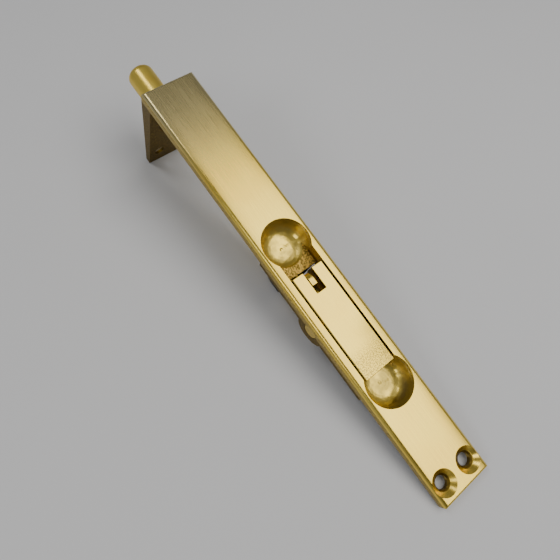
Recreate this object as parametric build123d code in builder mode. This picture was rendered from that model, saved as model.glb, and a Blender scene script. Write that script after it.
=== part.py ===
"""Lever-action flush bolt in solid brass, 160 x 20 mm face plate.

Frame: the origin is on the face, midway across its width, at the end that the bolt leaves.
+X runs along the face plate away from the bolt's tip, +Y across it, +Z out of the face.
At rest the bolt is thrown and the lever is flush. Lifting the lever's free end swings it about
the pivot pin. A drive arm riveted in the lever carries the crank pin, which pulls the rod back
by the upright slots of two tail plates.
"""
import os
from math import cos, radians, sin

from build123d import *

# ---- driving dimensions, in millimetres ----
plate_length = 160.0
plate_width = 20.0
plate_thickness = 3.6
edge_roll = 1.4             # softly rolled long edges of the face
end_roll = 0.8              # the same on its two ends
end_corner_radius = 0.8

end_plate_depth = 41.0      # how far the end plate reaches in from the face
end_plate_root = 5.2        # its thickness where it meets the face plate
end_plate_tip = 2.4         # and at its free edge: casting draft
inner_corner_radius = 1.2

rod_radius = 4.85           # the part that shows
shank_radius = 4.65         # and the part behind it
rod_depth = 16.25           # rod's axis, below the face
rod_reach = 19.0            # how far the thrown bolt stands out of the end plate
rod_tip_roundness = 2.4
rod_stroke = 19.5
rod_clearance = 0.15
shank_start_x = -0.6
rod_shoulder_x = 64.0
tongue_end_x = 72.4         # flat tongue at the rod's tail
tongue_half_thickness = 1.0
tongue_half_height = 2.6
relief_start_x = 2.6        # flare of the rod's hole on the end plate's inner side
relief_angle = 40

scoop_radius = 8.45         # finger scoops
scoop_near_x = 67.3
scoop_far_x = 121.0
scoop_depth = 7.0
scoop_wall_lean = 0.4       # how much narrower the wall would be at the floor
scoop_corner_radius = 5.2   # wide curve between wall and floor
bulge_thickness = 0.95      # cast wall behind the scoops
bulge_top_depth = 0.8       # where it starts, inside the rolled edges
shell = 1.6                 # cast wall behind the recess

recess_half_width = 6.7
recess_depth = 5.5
well_start_x = 77.3         # between these two places the recess is open at the back
well_end_x = 106.0
sill_chamfer = 1.3
pocket_half_width = 9.4

pivot_x = 94.5
pivot_depth = 4.4
pivot_radius = 2.6
pivot_clearance = 0.05
boss_radius = 5.6
boss_top_depth = 1.7        # the bosses stop below the rolled edges

lever_start_x = 78.2
lever_end_x = 116.8
lever_half_width = 6.05
lever_tip_thickness = 2.6
lever_tip_undercut = 0.6
lever_arm_thickness = 7.2
lever_waist_x = 103.5       # between the thin finger end and the hub
lever_waist_thickness = 3.8
fork_roundness = 2.6
hub_radius = 4.3
lever_depth = pivot_depth + hub_radius
skin = 1.1                  # lever's face left over the channel underneath
notch_half_width = 1.95
notch_end_x = 86.3
channel_end_x = 103.0
edge_break = 0.25           # small chamfer on machined edges

# ---- drive: the crank pin swings evenly to both sides of the line below the pivot ----
swing_degrees = 100.0
crank_start_angle = radians(90 - swing_degrees / 2)
crank_radius = rod_stroke / 2 / cos(crank_start_angle)
crank_x = pivot_x - rod_stroke / 2
crank_depth = pivot_depth + crank_radius * sin(crank_start_angle)
crank_lowest_depth = pivot_depth + crank_radius
crank_pin_radius = 1.3
crank_head_radius = 2.5
crank_head_thickness = 0.7
crank_head_gap = 0.1        # between a head and its tail plate

arm_head_x = 81.4           # rounded upper end, seen in the lever's notch
arm_head_depth = 4.1
arm_head_radius = 2.7
arm_foot_radius = 2.6
arm_hub_radius = 3.2        # eye around the pivot pin
arm_tail = (99.3, -3.5)
arm_tail_radius = 1.9
arm_dip = (86.3, -1.2)      # hollow behind the rounded head
arm_dip_radius = 3.0
arm_half_thickness = 0.9
arm_rivet_radius = 0.8
arm_rivet_places = [(90.6, -3.3), arm_tail]

slot_half_width = 1.95      # wider than the pin, because a crank doesn't pull evenly
slot_wall = 1.2
tail_plate_thickness = 0.8
tail_plate_gap = 0.2        # between the plates' ends and the rod's shoulder
tail_plate_outside = tongue_half_thickness + tail_plate_thickness
tail_rivet_radius = 1.0
tail_rivet_places = [(66.2, -rod_depth), (70.2, -rod_depth)]

screw_radius = 2.1
screw_head_radius = 4.2
countersink_angle = 90
screw_x = 154.2
screw_half_spacing = 5.3
end_screw_head_radius = 3.8
end_screw_depth = 34.0
end_screw_half_spacing = 5.6

strap_start_x = 72.4
strap_length = 4.9
strap_thickness = 1.2
strap_clearance = 0.5
strap_inner_radius = shank_radius + strap_clearance
strap_foot_half_width = 9.3
strap_foot_top = -(recess_depth + shell)
strap_rivet_y = 8.05
strap_rivet_radius = 0.8
strap_rivet_head_radius = 1.2
strap_rivet_head_height = 0.7

os.makedirs("parts", exist_ok=True)


def side_plane(y, x=0, z=0):
    """A plane seen from the side: sketch x along the plate, sketch y out of the face."""
    return Plane(origin=(x, y, z), x_dir=(1, 0, 0), z_dir=(0, -1, 0))


def end_plane(x):
    """A plane across the plate: sketch x across the plate, sketch y out of the face."""
    return Plane(origin=(x, 0, 0), x_dir=(0, 1, 0), z_dir=(1, 0, 0))


def finish(shape, name):
    """Label a finished piece and write it as its own STEP file."""
    shape.label = name
    export_step(shape, f"parts/{name}.step")


def bowl_section(x, z, extra):
    """Half section of a bowl at x and z, larger than a scoop all round by extra."""
    rim = scoop_radius + extra
    floor = -(scoop_depth + extra)
    foot = (rim - scoop_wall_lean, floor)
    with BuildSketch(side_plane(0, x, z)) as section:
        with BuildLine():
            Polyline((0, 0), (rim, 0), foot, (0, floor), close=True)
        make_face()
        foot_corner = section.vertices().sort_by_distance(foot)[0]
        fillet(foot_corner, scoop_corner_radius + extra)
    return section.sketch


# ---- face plate, end plate, scoops and cheeks: one casting ----
with BuildPart() as face_casting:
    # the L of face plate and end plate, trimmed to its outlines seen from the end and from above
    with BuildSketch(side_plane(-plate_width / 2)) as side_outline:
        with BuildLine():
            Polyline(
                (0, 0),
                (plate_length, 0),
                (plate_length, -plate_thickness),
                (end_plate_root, -plate_thickness),
                (end_plate_tip, -end_plate_depth),
                (0, -end_plate_depth),
                close=True,
            )
        make_face()
        inner_corner = side_outline.vertices().sort_by_distance(
            (end_plate_root, -plate_thickness)
        )[0]
        fillet(inner_corner, inner_corner_radius)
        fillet(side_outline.vertices().group_by(Axis.Y)[-1], end_roll)
    extrude(amount=-plate_width)
    with BuildSketch(end_plane(0)) as end_outline:
        Rectangle(plate_width, end_plate_depth, align=(Align.CENTER, Align.MAX))
        fillet(end_outline.vertices().group_by(Axis.Y)[-1], edge_roll)
    extrude(amount=plate_length, mode=Mode.INTERSECT)
    with BuildSketch(Plane.XY) as top_outline:
        Rectangle(plate_length, plate_width, align=(Align.MIN, Align.CENTER))
        fillet(top_outline.vertices().group_by(Axis.X)[-1], end_corner_radius)
    extrude(amount=-end_plate_depth, mode=Mode.INTERSECT)

    # pocket behind the recess, with a bulge behind each scoop
    pocket_length = scoop_far_x - scoop_near_x
    pocket_middle = (scoop_far_x + scoop_near_x) / 2
    pocket_bottom = -(recess_depth + shell)
    with BuildSketch(Plane.XY.offset(pocket_bottom)):
        with Locations((pocket_middle, 0)):
            Rectangle(pocket_length, 2 * pocket_half_width)
    extrude(amount=-pocket_bottom - plate_thickness)
    for scoop_x in (scoop_near_x, scoop_far_x):
        revolve(
            bowl_section(scoop_x, -bulge_top_depth, bulge_thickness),
            axis=Axis((scoop_x, 0, 0), (0, 0, 1)),
        )

    # round bosses that carry the lever's pivot pin, flush with the plate's sides
    with BuildSketch(side_plane(-plate_width / 2)):
        with Locations((pivot_x, -pivot_depth)):
            Circle(boss_radius)
        with Locations((pivot_x, -boss_top_depth)):
            Rectangle(
                2 * boss_radius,
                boss_radius,
                align=(Align.CENTER, Align.MIN),
                mode=Mode.SUBTRACT,
            )
    extrude(amount=-plate_width)

    # scoops, recess between them, and the well that is open at the back
    for scoop_x in (scoop_near_x, scoop_far_x):
        revolve(
            bowl_section(scoop_x, 0, 0),
            axis=Axis((scoop_x, 0, 0), (0, 0, 1)),
            mode=Mode.SUBTRACT,
        )
    with BuildSketch(Plane.XY):
        with Locations((pocket_middle, 0)):
            Rectangle(pocket_length, 2 * recess_half_width)
    extrude(amount=-recess_depth, mode=Mode.SUBTRACT)
    with BuildSketch(Plane.XY):
        with Locations(((well_start_x + well_end_x) / 2, 0)):
            Rectangle(well_end_x - well_start_x, 2 * recess_half_width)
    extrude(amount=-end_plate_depth, mode=Mode.SUBTRACT)
    sill = face_casting.edges().filter_by(Axis.Y).sort_by_distance(
        (well_start_x, 0, pocket_bottom)
    )[0]
    chamfer(sill, sill_chamfer)

    # pivot pin's hole through both cheeks
    with BuildSketch(side_plane(-plate_width / 2)):
        with Locations((pivot_x, -pivot_depth)):
            Circle(pivot_radius)
    extrude(amount=-plate_width, mode=Mode.SUBTRACT)

    # countersunk screw holes: two in the face, two in the end plate
    with Locations(Plane.XY):
        with Locations((screw_x, screw_half_spacing), (screw_x, -screw_half_spacing)):
            CounterSinkHole(screw_radius, screw_head_radius, plate_thickness, countersink_angle)
    with Locations(Plane(origin=(0, 0, 0), x_dir=(0, 1, 0), z_dir=(-1, 0, 0))):
        with Locations(
            (end_screw_half_spacing, end_screw_depth),
            (-end_screw_half_spacing, end_screw_depth),
        ):
            CounterSinkHole(
                screw_radius, end_screw_head_radius, end_plate_root, countersink_angle
            )

    # the rod's hole, flared on the inner side
    with BuildSketch(end_plane(0)):
        with Locations((0, -rod_depth)):
            Circle(rod_radius + rod_clearance)
    extrude(amount=end_plate_root, mode=Mode.SUBTRACT)
    with BuildSketch(end_plane(relief_start_x)):
        with Locations((0, -rod_depth)):
            Circle(rod_radius + rod_clearance)
    extrude(amount=end_plate_root - end_plate_tip, taper=-relief_angle, mode=Mode.SUBTRACT)
finish(face_casting.part, "face_casting")

# ---- rod: round-ended bolt, slightly thinner shank, flat tongue at the tail ----
with BuildPart() as rod:
    with BuildSketch(end_plane(-rod_reach)):
        with Locations((0, -rod_depth)):
            Circle(rod_radius)
    extrude(amount=rod_reach + shank_start_x)
    tip_edge = rod.edges().filter_by(GeomType.CIRCLE).sort_by(Axis.X)[0]
    fillet(tip_edge, rod_tip_roundness)
    with BuildSketch(end_plane(shank_start_x)):
        with Locations((0, -rod_depth)):
            Circle(shank_radius)
    extrude(amount=rod_shoulder_x - shank_start_x)
    with BuildSketch(end_plane(rod_shoulder_x)):
        with Locations((0, -rod_depth)):
            Rectangle(2 * tongue_half_thickness, 2 * tongue_half_height)
    extrude(amount=tongue_end_x - rod_shoulder_x)
    with BuildSketch(side_plane(-tongue_half_thickness)):
        with Locations(*tail_rivet_places):
            Circle(tail_rivet_radius)
    extrude(amount=-2 * tongue_half_thickness, mode=Mode.SUBTRACT)
finish(rod.part, "rod")

# ---- two tail plates, one on each side of the tongue, with upright slots for the crank pin ----
with BuildPart() as tail_plates:
    shank_length = crank_x - rod_shoulder_x - tail_plate_gap
    slot_length = crank_lowest_depth - crank_depth
    slot_middle = (crank_x, -(crank_depth + crank_lowest_depth) / 2)
    for inner_face_y in (-tail_plate_outside, tongue_half_thickness):
        with BuildSketch(side_plane(inner_face_y)):
            with Locations((crank_x - shank_length / 2, -rod_depth)):
                Rectangle(shank_length, 2 * tongue_half_height)
            with Locations(slot_middle):
                SlotCenterToCenter(slot_length, 2 * (slot_half_width + slot_wall), rotation=90)
                SlotCenterToCenter(
                    slot_length, 2 * slot_half_width, rotation=90, mode=Mode.SUBTRACT
                )
            with Locations(*tail_rivet_places):
                Circle(tail_rivet_radius, mode=Mode.SUBTRACT)
        extrude(amount=-tail_plate_thickness)
finish(tail_plates.part, "tail_plates")

# ---- two rivets through plates and tongue, filed flush ----
with BuildPart() as tail_rivets:
    with BuildSketch(side_plane(-tail_plate_outside)):
        with Locations(*tail_rivet_places):
            Circle(tail_rivet_radius)
    extrude(amount=-2 * tail_plate_outside)
finish(tail_rivets.part, "tail_rivets")

# ---- lever: finger end, hub on the pivot pin, and a notched end above the drive arm ----
with BuildPart() as lever:
    with BuildSketch(side_plane(-lever_half_width)):
        with BuildLine():
            Polyline(
                (lever_start_x, 0),
                (lever_end_x, 0),
                (lever_end_x - lever_tip_undercut, -lever_tip_thickness),
                (lever_waist_x, -lever_waist_thickness),
                (pivot_x, -lever_arm_thickness),
                (lever_start_x, -lever_arm_thickness),
                close=True,
            )
        make_face()
        with Locations((pivot_x, -pivot_depth)):
            Circle(hub_radius)
    extrude(amount=-2 * lever_half_width)
    fork_corner = lever.edges().filter_by(Axis.Y).sort_by_distance(
        (lever_start_x, 0, -lever_arm_thickness)
    )[0]
    fillet(fork_corner, fork_roundness)
    chamfer(lever.faces().sort_by(Axis.Z)[-1].edges(), edge_break)

    # notch through the face, and the channel that carries on under the skin
    with BuildSketch(Plane.XY):
        with Locations((lever_start_x, 0)):
            Rectangle(
                notch_end_x - lever_start_x,
                2 * notch_half_width,
                align=(Align.MIN, Align.CENTER),
            )
    extrude(amount=-lever_depth, mode=Mode.SUBTRACT)
    with BuildSketch(Plane.XY.offset(-skin)):
        with Locations((lever_start_x, 0)):
            Rectangle(
                channel_end_x - lever_start_x,
                2 * notch_half_width,
                align=(Align.MIN, Align.CENTER),
            )
    extrude(amount=-lever_depth, mode=Mode.SUBTRACT)

    with BuildSketch(side_plane(-lever_half_width)):
        with Locations((pivot_x, -pivot_depth)):
            Circle(pivot_radius + pivot_clearance)
        with Locations(*arm_rivet_places):
            Circle(arm_rivet_radius)
    extrude(amount=-2 * lever_half_width, mode=Mode.SUBTRACT)
finish(lever.part, "lever")

# ---- drive arm: a plate between the lever's cheeks, around the pivot pin ----
with BuildPart() as drive_arm:
    with BuildSketch(side_plane(-arm_half_thickness)):
        with Locations((arm_head_x, -arm_head_depth)):
            Circle(arm_head_radius)
        with Locations((crank_x, -crank_depth)):
            Circle(arm_foot_radius)
        with Locations((pivot_x, -pivot_depth)):
            Circle(arm_hub_radius)
        make_hull()
    extrude(amount=-2 * arm_half_thickness)
    with BuildSketch(side_plane(-arm_half_thickness)):
        with Locations((pivot_x, -pivot_depth)):
            Circle(arm_hub_radius)
        with Locations(arm_tail):
            Circle(arm_tail_radius)
        make_hull()
    extrude(amount=-2 * arm_half_thickness)
    with BuildSketch(side_plane(-arm_half_thickness)):
        with Locations((pivot_x, -pivot_depth)):
            Circle(pivot_radius + pivot_clearance)
        with Locations((crank_x, -crank_depth)):
            Circle(crank_pin_radius)
        with Locations(*arm_rivet_places):
            Circle(arm_rivet_radius)
        with Locations(arm_dip):
            Circle(arm_dip_radius)
    extrude(amount=-2 * arm_half_thickness, mode=Mode.SUBTRACT)
finish(drive_arm.part, "drive_arm")

# ---- two rivets fix the arm between the lever's cheeks ----
with BuildPart() as arm_rivets:
    with BuildSketch(side_plane(-lever_half_width)):
        with Locations(*arm_rivet_places):
            Circle(arm_rivet_radius)
    extrude(amount=-2 * lever_half_width)
finish(arm_rivets.part, "arm_rivets")

# ---- crank pin: fixed in the arm's foot, with a head outside each tail plate ----
with BuildPart() as crank_pin:
    crank_head_start = tail_plate_outside + crank_head_gap
    for side in (-1, 1):
        with BuildSketch(side_plane(0)):
            with Locations((crank_x, -crank_depth)):
                Circle(crank_pin_radius)
        extrude(amount=-side * crank_head_start)
        with BuildSketch(side_plane(side * crank_head_start)):
            with Locations((crank_x, -crank_depth)):
                Circle(crank_head_radius)
        extrude(amount=-side * crank_head_thickness)
finish(crank_pin.part, "crank_pin")

# ---- pivot pin, through both cheeks and the lever's hub ----
with BuildPart() as pivot_pin:
    with BuildSketch(side_plane(-plate_width / 2)):
        with Locations((pivot_x, -pivot_depth)):
            Circle(pivot_radius)
    extrude(amount=-plate_width)
    chamfer(pivot_pin.edges().filter_by(GeomType.CIRCLE), edge_break)
finish(pivot_pin.part, "pivot_pin")

# ---- guide strap: a U of dark spring steel that the rod's tail slides in ----
with BuildPart() as guide_strap:
    strap_outer_radius = strap_inner_radius + strap_thickness
    strap_leg_length = strap_foot_top + rod_depth
    strap_leg_middle = (0, strap_foot_top - strap_leg_length / 2)
    with BuildSketch(end_plane(strap_start_x)):
        with Locations((0, -rod_depth)):
            Circle(strap_outer_radius)
        with Locations(strap_leg_middle):
            Rectangle(2 * strap_outer_radius, strap_leg_length)
        with Locations((0, strap_foot_top - strap_thickness / 2)):
            Rectangle(2 * strap_foot_half_width, strap_thickness)
        with Locations((0, -rod_depth)):
            Circle(strap_inner_radius, mode=Mode.SUBTRACT)
        with Locations(strap_leg_middle):
            Rectangle(2 * strap_inner_radius, strap_leg_length, mode=Mode.SUBTRACT)
    extrude(amount=strap_length)
    strap_middle_x = strap_start_x + strap_length / 2
    with BuildSketch(Plane.XY.offset(strap_foot_top)):
        with Locations((strap_middle_x, strap_rivet_y), (strap_middle_x, -strap_rivet_y)):
            Circle(strap_rivet_radius)
    extrude(amount=-strap_thickness, mode=Mode.SUBTRACT)
finish(guide_strap.part, "guide_strap")

# ---- two small rivets hold the strap's feet under the pocket ----
with BuildPart() as strap_rivets:
    for side in (-1, 1):
        with Locations((strap_middle_x, side * strap_rivet_y, strap_foot_top)):
            Cylinder(
                strap_rivet_radius,
                strap_thickness,
                align=(Align.CENTER, Align.CENTER, Align.MAX),
            )
        with Locations((strap_middle_x, side * strap_rivet_y, strap_foot_top - strap_thickness)):
            Cylinder(
                strap_rivet_head_radius,
                strap_rivet_head_height,
                align=(Align.CENTER, Align.CENTER, Align.MAX),
            )
finish(strap_rivets.part, "strap_rivets")
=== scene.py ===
"""Looks of the brass lever-action flush bolt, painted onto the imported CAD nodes."""

import math
from types import SimpleNamespace

import bpy
from mathutils import Matrix, Vector


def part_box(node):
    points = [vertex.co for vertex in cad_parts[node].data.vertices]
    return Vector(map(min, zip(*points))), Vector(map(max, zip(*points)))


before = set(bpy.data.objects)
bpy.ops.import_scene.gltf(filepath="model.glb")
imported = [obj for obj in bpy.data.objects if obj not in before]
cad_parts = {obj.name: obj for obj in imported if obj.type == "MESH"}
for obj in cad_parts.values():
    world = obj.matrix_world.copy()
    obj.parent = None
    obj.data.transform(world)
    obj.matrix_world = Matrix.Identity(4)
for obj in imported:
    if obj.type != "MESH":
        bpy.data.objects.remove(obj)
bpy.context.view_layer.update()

MM = 0.001

# ---- places: boxes of the nodes, and driving values that match the CAD ----
plate_low, plate_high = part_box("face_casting")
plate_half_width = plate_high[1]
lever_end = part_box("lever")[1][0]
lever_half_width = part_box("lever")[1][1]
plate_thickness = 3.6 * MM
end_plate_tip = 2.4 * MM        # the end plate's thickness at its lower edge
scoop_places = (67.3 * MM, 121.0 * MM)
scoop_radius = 8.45 * MM
scoop_depth = 7.0 * MM
recess_depth = 5.5 * MM
pivot_x = 94.5 * MM
screw_place = 154.2 * MM
screw_half_spacing = 5.3 * MM
screw_head_radius = 4.2 * MM

# ---- where one finish, or one painted shade, turns into the next ----
seam = 0.1 * MM                 # the usual width of such a change
polish_depth = 1.3 * MM         # the polish reaches this far down, round the rolled edges
polish_fade = 0.3 * MM
rim_start = 0.04 * MM           # the scoops' finish starts this far below the face
rim_end = 0.12 * MM
side_fade = 0.2 * MM
halo_width = 1.0 * MM           # warmer brass around the countersinks
end_shade_start = 42 * MM         # from here toward the bolt's end the face darkens with painted shade
end_shade_end = 4 * MM

# ---- marks left by the making; heights are real ----
crown_height = 0.4 * MM         # how much the face falls away at its long edges
crown_power = 4.0               # a higher power keeps more of the middle flat
belt_streaks = (70, 9000)       # how finely the polishing streaks run along and across
streak_height = 0.0010 * MM
dent_height = 0.32 * MM         # unevenness of the scoops
grain_height = 0.40 * MM        # grain of the recess floor
speck_height = 0.02 * MM        # grain of the other cast surfaces
ring_pitch = 1.3 * MM           # turning marks in the scoops
ring_height = 0.008 * MM
nub_radius = 0.8 * MM           # the raised spot at the middle of a scoop
nub_height = 0.12 * MM
ray_half_width = 1.3 * MM       # the raised ray from there toward +Y
ray_height = 0.10 * MM
ray_rise = 2 * MM               # the ray reaches its height this far from the middle
ray_lean = 0.12                 # and leans this much toward +X
lever_fall = 4.5                # how fast the lever's finger end falls away, per metre
lever_fall_length = 12 * MM
lever_swell = 0.35 * MM         # unevenness of the lever's top
punch_start = 11 * MM           # punched specks start this far from the lever's finger end
punch_full = 5 * MM             # and cover it from here on
punch_depth = 0.014 * MM
lever_top_low = -0.3 * MM       # the lever's sides take painted shade below this height
lever_top_high = -0.1 * MM      # and its polished top keeps the brass colour above this one
rod_streak_height = 0.004 * MM
part_streak_height = 0.003 * MM
steel_grain_height = 0.01 * MM

# ---- colours, linear ----
BRIGHT_BRASS = (0.90, 0.66, 0.12, 1)
WARM_BRASS = (0.86, 0.60, 0.10, 1)
# painted shade for the face near the bolt's end
END_SHADE_BRASS = (0.70, 0.58, 0.27, 1)
OLIVE_BRASS = (0.56, 0.42, 0.10, 1)
CAST_BRASS = (0.96, 0.64, 0.14, 1)
# painted shade for the scoops' steep walls
SCOOP_WALL_SHADE = (0.58, 0.50, 0.22, 1)
DARK_BRASS = (0.26, 0.17, 0.03, 1)
SHADED_BRASS = (0.13, 0.085, 0.015, 1)
BLACK_STEEL = (0.012, 0.012, 0.014, 1)
RUBBED_STEEL = (0.06, 0.055, 0.05, 1)
PALE_GREY = (0.72, 0.72, 0.72, 1)
SHADED_GREY = (0.67, 0.67, 0.67, 1)


# ---- a material under construction ----
class Shader:
    """A material's node tree, with short ways to add to it."""

    def __init__(self, name):
        self.material = bpy.data.materials.new(name)
        self.material.use_nodes = True
        self.tree = self.material.node_tree
        self.bsdf = self.tree.nodes["Principled BSDF"]
        texture = self.tree.nodes.new("ShaderNodeTexCoord")
        self.place = texture.outputs["Object"]
        geometry = self.tree.nodes.new("ShaderNodeNewGeometry")
        self.spots = self.axes(self.place)
        self.facing = self.axes(geometry.outputs["Normal"])

    def feed(self, socket, value):
        """Give a socket a constant or a link."""
        if isinstance(value, bpy.types.NodeSocket):
            self.tree.links.new(value, socket)
        else:
            socket.default_value = value

    def math(self, operation, *values):
        """One arithmetic step."""
        node = self.tree.nodes.new("ShaderNodeMath")
        node.operation = operation
        for socket, value in zip(node.inputs, values):
            self.feed(socket, value)
        return node.outputs[0]

    def add(self, *values):
        """The sum of several values."""
        total = values[0]
        for value in values[1:]:
            total = self.math("ADD", total, value)
        return total

    def times(self, *values):
        """The product of several values."""
        total = values[0]
        for value in values[1:]:
            total = self.math("MULTIPLY", total, value)
        return total

    def rest(self, value):
        """What is left of one."""
        return self.math("SUBTRACT", 1.0, value)

    def axes(self, vector):
        """X, Y and Z of a vector."""
        node = self.tree.nodes.new("ShaderNodeSeparateXYZ")
        self.feed(node.inputs[0], vector)
        return node.outputs

    def noise(self, scale, detail=3.0, stretch=(1, 1, 1), roughness=0.55):
        """Noise over the object's own space, with the space stretched first."""
        space = self.tree.nodes.new("ShaderNodeMapping")
        self.feed(space.inputs["Vector"], self.place)
        self.feed(space.inputs["Scale"], stretch)
        node = self.tree.nodes.new("ShaderNodeTexNoise")
        self.feed(node.inputs["Vector"], space.outputs[0])
        self.feed(node.inputs["Scale"], scale)
        self.feed(node.inputs["Detail"], detail)
        self.feed(node.inputs["Roughness"], roughness)
        return node.outputs["Fac"]

    def ramp(self, value, low, high, out_low=0.0, out_high=1.0):
        """Map the stretch from low to high smoothly onto out_low to out_high."""
        node = self.tree.nodes.new("ShaderNodeMapRange")
        node.interpolation_type = "SMOOTHSTEP"
        numbers = {
            "Value": value,
            "From Min": low,
            "From Max": high,
            "To Min": out_low,
            "To Max": out_high,
        }
        for socket, number in numbers.items():
            self.feed(node.inputs[socket], number)
        return node.outputs[0]

    def fall(self, value, low, high):
        """1 up to low, fading to 0 at high."""
        return self.ramp(value, low, high, 1.0, 0.0)

    def colour(self, factor, first, second):
        """Mix two colours."""
        node = self.tree.nodes.new("ShaderNodeMix")
        node.data_type = "RGBA"
        self.feed(node.inputs[0], factor)
        self.feed(node.inputs[6], first)
        self.feed(node.inputs[7], second)
        return node.outputs[2]

    def blend(self, factor, first, second):
        """Mix two numbers."""
        node = self.tree.nodes.new("ShaderNodeMix")
        self.feed(node.inputs[0], factor)
        self.feed(node.inputs[2], first)
        self.feed(node.inputs[3], second)
        return node.outputs[0]

    def distance(self, x, y):
        """How far a point is from the upright line through (x, y)."""
        along = self.math("SUBTRACT", self.spots[0], x)
        across = self.math("SUBTRACT", self.spots[1], y)
        return self.math("SQRT", self.add(self.times(along, along), self.times(across, across)))

    def near(self, places, inner, outer):
        """1 near any of the upright lines at places, fading to 0 from inner to outer."""
        fades = [self.fall(self.distance(x, y), inner, outer) for x, y in places]
        total = fades[0]
        for fade in fades[1:]:
            total = self.math("MAXIMUM", total, fade)
        return total

    def brushing(self, along, across):
        """Fine streaks along X, as left by a polishing belt."""
        fine = self.noise(1.0, 4.0, (along, across, across), 0.6)
        coarse = self.noise(1.0, 2.0, (along * 0.6, across * 0.4, across * 0.4), 0.5)
        return self.blend(0.35, fine, coarse)

    def surface(self, colour, metallic, roughness):
        """Feed the three main inputs."""
        self.feed(self.bsdf.inputs["Base Color"], colour)
        self.feed(self.bsdf.inputs["Metallic"], metallic)
        self.feed(self.bsdf.inputs["Roughness"], roughness)

    def bump(self, height):
        """Real heights, in metres, as a bump."""
        node = self.tree.nodes.new("ShaderNodeBump")
        self.feed(node.inputs["Strength"], 1.0)
        self.feed(node.inputs["Distance"], 1.0)
        self.feed(node.inputs["Height"], height)
        self.feed(self.bsdf.inputs["Normal"], node.outputs[0])


# ---- materials ----
def casting_grain(s):
    """The casting's noises, from the coarsest to the finest."""
    return SimpleNamespace(
        clouds=s.noise(38, 2.0),
        dents=s.noise(240, 2.0),
        grains=s.noise(1500, 4.0, roughness=0.7),
        specks=s.noise(5200, 2.0),
        streaks=s.brushing(*belt_streaks),
    )


def casting_zones(s):
    """Where each of the casting's finishes lies, as masks from 0 to 1."""
    z = s.spots[2]
    upward = s.facing[2]
    sideways = s.math("ABSOLUTE", s.facing[1])

    # the rough recess floor lies at one depth and leans less than 10 degrees
    off_floor = s.math("ABSOLUTE", s.add(z, recess_depth))
    level = s.ramp(upward, 0.985, 0.998)
    on_floor = s.times(s.fall(off_floor, seam / 2, seam), level)

    # the turned scoops lie below the face and above the bulges of the back
    middles = [(x, 0.0) for x in scoop_places]
    in_scoop = s.near(middles, scoop_radius, scoop_radius + seam)
    above_back = s.ramp(upward, -0.05, 0.05)
    below_rim = s.fall(z, -rim_end, -rim_start)
    above_bulge = s.ramp(z, -scoop_depth - seam, -scoop_depth - 0.2 * seam)
    turned = s.times(in_scoop, above_back, s.rest(on_floor), below_rim, above_bulge)

    # the polish covers the face and its rolled edges, while the plate's sides stay dull;
    # casting_colour paints shade on the sides
    sunk = s.fall(z, -polish_depth - polish_fade, -polish_depth)
    above_side = s.ramp(z, -plate_thickness - side_fade, -plate_thickness)
    side = s.times(s.ramp(sideways, 0.9, 0.98), above_side)
    worked = s.math("MAXIMUM", s.math("MAXIMUM", s.rest(sunk), side), turned)

    screws = [(screw_place, turn * screw_half_spacing) for turn in (-1, 1)]
    halo = s.near(screws, screw_head_radius, screw_head_radius + halo_width)
    return SimpleNamespace(
        on_floor=on_floor, turned=turned, sunk=sunk, side=side, rough=s.rest(worked), halo=halo
    )


def casting_colour(s, grain, zones):
    """Bright face, with painted shade toward the bolt's end; warm recess floor; painted shade on
    the sides, the back and the scoop walls.
    """
    face = s.colour(s.ramp(grain.clouds, 0.35, 0.7), BRIGHT_BRASS, WARM_BRASS)
    face = s.colour(s.times(zones.halo, 0.5), face, WARM_BRASS)
    # painted shade: the face turns dark olive toward the bolt's end
    face = s.colour(s.fall(s.spots[0], end_shade_end, end_shade_start), face, END_SHADE_BRASS)
    # painted shade: the plate's sides are dark olive and dark brass, with grain
    side = s.colour(s.ramp(grain.grains, 0.4, 0.65), OLIVE_BRASS, DARK_BRASS)
    face = s.colour(zones.side, face, side)
    floor = s.colour(s.ramp(grain.grains, 0.42, 0.56), DARK_BRASS, CAST_BRASS)
    # painted shade: the back and the end plate's inner face are dark, with grain
    back = s.colour(s.ramp(grain.grains, 0.4, 0.7), SHADED_BRASS, DARK_BRASS)
    cast = s.colour(zones.on_floor, back, floor)
    scoop = s.colour(s.ramp(grain.dents, 0.3, 0.7), BRIGHT_BRASS, OLIVE_BRASS)
    # painted shade: the scoops' steep walls are darker and more olive than their floors
    scoop = s.colour(s.ramp(s.facing[2], 0.35, 0.75), SCOOP_WALL_SHADE, scoop)
    return s.colour(zones.turned, s.colour(zones.rough, face, cast), scoop)


def casting_roughness(s, grain, zones):
    """Glossy face, softer scoops, matt castings."""
    face = s.ramp(grain.streaks, 0.3, 0.7, 0.24, 0.33)
    scoop = s.ramp(grain.dents, 0.3, 0.7, 0.3, 0.42)
    finish = s.blend(zones.turned, s.blend(zones.rough, face, 0.5), scoop)
    return s.blend(zones.side, finish, 0.4)


def turning_marks(s, middle):
    """Rings, a raised spot and a ray in the scoop around middle."""
    away = s.distance(middle, 0.0)
    rings = s.times(s.math("SINE", s.times(away, 2 * math.pi / ring_pitch)), ring_height)
    nub = s.ramp(away, 0.0, nub_radius, nub_height, 0.0)
    along = s.math("SUBTRACT", s.spots[0], middle)
    beside = s.math("ABSOLUTE", s.math("SUBTRACT", along, s.times(s.spots[1], ray_lean)))
    rise = s.ramp(s.spots[1], 0.0, ray_rise, 0.0, ray_height)
    ray = s.times(s.fall(beside, 0.0, ray_half_width), rise)
    here = s.fall(away, scoop_radius, scoop_radius + seam)
    return s.times(s.add(rings, nub, ray), here)


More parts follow.
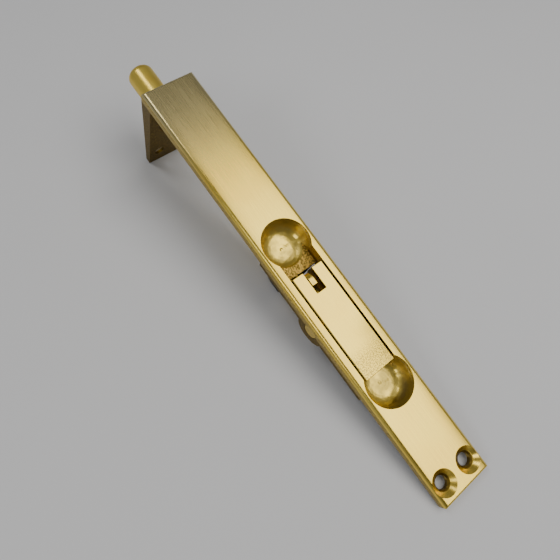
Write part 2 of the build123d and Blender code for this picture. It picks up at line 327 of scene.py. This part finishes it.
def casting_height(s, grain, zones):
    """A slightly crowned face, turning marks, and the grain of the casting."""
    outward = s.math("ABSOLUTE", s.times(s.spots[1], 1 / plate_half_width))
    crown = s.math("POWER", outward, crown_power)
    marks = s.add(*[turning_marks(s, middle) for middle in scoop_places])
    return s.add(
        s.times(crown, -crown_height, s.rest(zones.sunk)),
        s.times(grain.streaks, streak_height, s.rest(zones.rough), s.rest(zones.turned)),
        s.times(s.add(marks, s.times(grain.dents, dent_height)), zones.turned),
        s.times(grain.grains, grain_height, zones.on_floor),
        s.times(grain.specks, speck_height, zones.rough),
    )


def cast_brass():
    """The casting: belt-polished face, turned scoops, grainy recess floor, rough back darkened with
    painted shade.
    """
    s = Shader("cast_brass")
    grain = casting_grain(s)
    zones = casting_zones(s)
    s.surface(casting_colour(s, grain, zones), 1.0, casting_roughness(s, grain, zones))
    s.bump(casting_height(s, grain, zones))
    return s.material


def lever_brass():
    """The lever: the same polishing, with fine punched specks near its finger end, and painted
    shade on its sides.
    """
    s = Shader("lever_brass")
    x, y, z = s.spots
    streaks = s.brushing(*belt_streaks)
    clouds = s.noise(45, 2.0)
    specks = s.noise(2600, 1.0)
    near_tip = s.ramp(x, lever_end - punch_start, lever_end - punch_full)
    upper = s.ramp(z, lever_top_low, lever_top_high)
    punched = s.times(near_tip, upper, s.ramp(specks, 0.46, 0.6))
    face = s.colour(s.ramp(clouds, 0.35, 0.7), BRIGHT_BRASS, WARM_BRASS)
    face = s.colour(s.times(punched, 0.7), face, OLIVE_BRASS)
    # painted shade: the lever's sides, below its top, are dark brass
    face = s.colour(upper, DARK_BRASS, face)
    finish = s.ramp(streaks, 0.3, 0.7, 0.22, 0.31)
    s.surface(face, 1.0, s.blend(punched, finish, 0.45))

    # hand polishing has turned the finger end's right side (+Y) down a little
    from_left = s.add(y, lever_half_width)
    toward_tip = s.ramp(x, pivot_x, pivot_x + lever_fall_length)
    height = s.add(
        s.times(from_left, from_left, toward_tip, -lever_fall),
        s.times(s.noise(28, 1.0), lever_swell),
        s.times(streaks, streak_height),
        s.times(punched, -punch_depth),
    )
    s.bump(height)
    return s.material


def worked_brass(name, tint, shade, brushing, roughness, height):
    """Worked brass with streaks along X and slight tarnish."""
    s = Shader(name)
    streaks = s.brushing(*brushing)
    tarnish = s.ramp(s.noise(160, 3.0), 0.42, 0.75)
    s.surface(s.colour(tarnish, tint, shade), 1.0, s.ramp(streaks, 0.3, 0.7, *roughness))
    s.bump(s.times(streaks, height))
    return s.material


def dark_steel():
    """Blackened spring steel with rubbed, oily patches."""
    s = Shader("dark_steel")
    rubbed = s.noise(420, 4.0)
    colour = s.colour(s.ramp(rubbed, 0.5, 0.75), BLACK_STEEL, RUBBED_STEEL)
    s.surface(colour, 0.85, s.ramp(rubbed, 0.3, 0.7, 0.35, 0.6))
    s.bump(s.times(s.noise(2500, 2.0), steel_grain_height))
    return s.material


def floor_grey():
    """Plain pale grey, faintly uneven."""
    s = Shader("floor_grey")
    s.surface(s.colour(s.noise(9, 2.0), PALE_GREY, SHADED_GREY), 0.0, 0.85)
    s.bsdf.inputs["Specular IOR Level"].default_value = 0.1
    return s.material


def paint(names, material):
    """Give every material slot of some CAD nodes the same better material."""
    for name in names:
        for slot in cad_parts[name].material_slots:
            slot.material = material


rod_brass = worked_brass(
    "rod_brass",
    BRIGHT_BRASS,
    WARM_BRASS,
    brushing=(60, 3000),
    roughness=(0.3, 0.44),
    height=rod_streak_height,
)
plain_brass = worked_brass(
    "plain_brass",
    WARM_BRASS,
    OLIVE_BRASS,
    brushing=(900, 2600),
    roughness=(0.25, 0.42),
    height=part_streak_height,
)
paint(["face_casting"], cast_brass())
paint(["lever"], lever_brass())
paint(["rod"], rod_brass)
paint(["tail_plates", "tail_rivets", "pivot_pin", "crank_pin"], plain_brass)
paint(["drive_arm", "arm_rivets"], plain_brass)
paint(["guide_strap", "strap_rivets"], dark_steel())


# ---- floor: the bolt rests on the end plate's lower edge and the plate's far end ----
floor_gap = 0.1 * MM
floor_reach = 0.45
floor_half_width = 0.6


def lay_floor():
    """A plane through the two edges that the object rests on, a hair below them."""
    near = Vector((end_plate_tip, 0.0, plate_low[2]))
    far = Vector((plate_high[0], 0.0, -plate_thickness))
    along = (far - near).normalized()
    up = Vector((-along.z, 0.0, along.x))
    middle = (near + far) / 2 - up * floor_gap
    reach = along * floor_reach
    width = Vector((0.0, floor_half_width, 0.0))
    corners = [
        middle - reach - width,
        middle + reach / 2 - width,
        middle + reach / 2 + width,
        middle - reach + width,
    ]
    mesh = bpy.data.meshes.new("floor")
    mesh.from_pydata([tuple(corner) for corner in corners], [], [(0, 1, 2, 3)])
    floor = bpy.data.objects.new("floor", mesh)
    bpy.context.collection.objects.link(floor)
    floor.data.materials.append(floor_grey())


# ---- camera: close above the mechanism, on the left, with the plate running down to the right ----
def place_camera():
    """A short lens aimed at the middle of the plate and rolled about its line of sight."""
    data = bpy.data.cameras.new("camera")
    data.sensor_width = 36.0
    data.lens = 30.1
    data.clip_start = 0.01
    camera = bpy.data.objects.new("camera", data)
    eye = Vector((89.5, -58.4, 136.4)) * MM
    aim = Vector((76.0, -9.3, 0.0)) * MM
    roll = math.radians(55.6)
    forward = (aim - eye).normalized()
    level = (Vector((0, 1, 0)) - forward * forward.y).normalized()
    up = level * math.cos(roll) - forward.cross(level) * math.sin(roll)
    turn = Matrix((forward.cross(up), up, -forward)).transposed().to_4x4()
    camera.matrix_world = Matrix.Translation(eye) @ turn
    bpy.context.collection.objects.link(camera)
    bpy.context.scene.camera = camera


# ---- light ----
light_target = Vector((0.09, 0.0, 0.0))
white = (1.0, 1.0, 1.0)
warm_white = (1.0, 0.98, 0.95)
wall_colour = (0.58, 0.61, 0.68, 1)
wall_strength = 0.48
ceiling_strength = 0.11


def soft_light(name, place, size, power, colour=white):
    """A rectangular area light at place, turned to the target."""
    data = bpy.data.lights.new(name, "AREA")
    data.shape = "RECTANGLE"
    data.size, data.size_y = size
    data.energy = power
    data.color = colour
    light = bpy.data.objects.new(name, data)
    turn = (light_target - Vector(place)).to_track_quat("-Z", "Y").to_matrix().to_4x4()
    light.matrix_world = Matrix.Translation(Vector(place)) @ turn
    bpy.context.collection.objects.link(light)


def light_walls():
    """Pale walls all round, giving way to a dim ceiling."""
    world = bpy.data.worlds.new("studio")
    world.use_nodes = True
    nodes = world.node_tree.nodes
    links = world.node_tree.links
    direction = nodes.new("ShaderNodeTexCoord")
    axes = nodes.new("ShaderNodeSeparateXYZ")
    strength = nodes.new("ShaderNodeMapRange")
    strength.interpolation_type = "SMOOTHSTEP"
    numbers = {
        "From Min": 0.15,
        "From Max": 0.7,
        "To Min": wall_strength,
        "To Max": ceiling_strength,
    }
    for socket, number in numbers.items():
        strength.inputs[socket].default_value = number
    links.new(direction.outputs["Generated"], axes.inputs[0])
    links.new(axes.outputs["Z"], strength.inputs["Value"])
    links.new(strength.outputs[0], nodes["Background"].inputs["Strength"])
    nodes["Background"].inputs["Color"].default_value = wall_colour
    bpy.context.scene.world = world


def light_studio():
    """A softbox where the face mirrors it, and fills from the left and from the bolt's end."""
    softbox_place = (0.165, 0.235, 0.65)
    soft_light("softbox", softbox_place, size=(0.80, 0.47), power=3.5, colour=warm_white)
    soft_light("left_fill", (0.05, -0.62, 0.5), size=(0.25, 0.25), power=0.9)
    soft_light("end_fill", (-0.38, -0.16, 0.50), size=(0.18, 0.25), power=0.75)
    light_walls()


lay_floor()
place_camera()
light_studio()
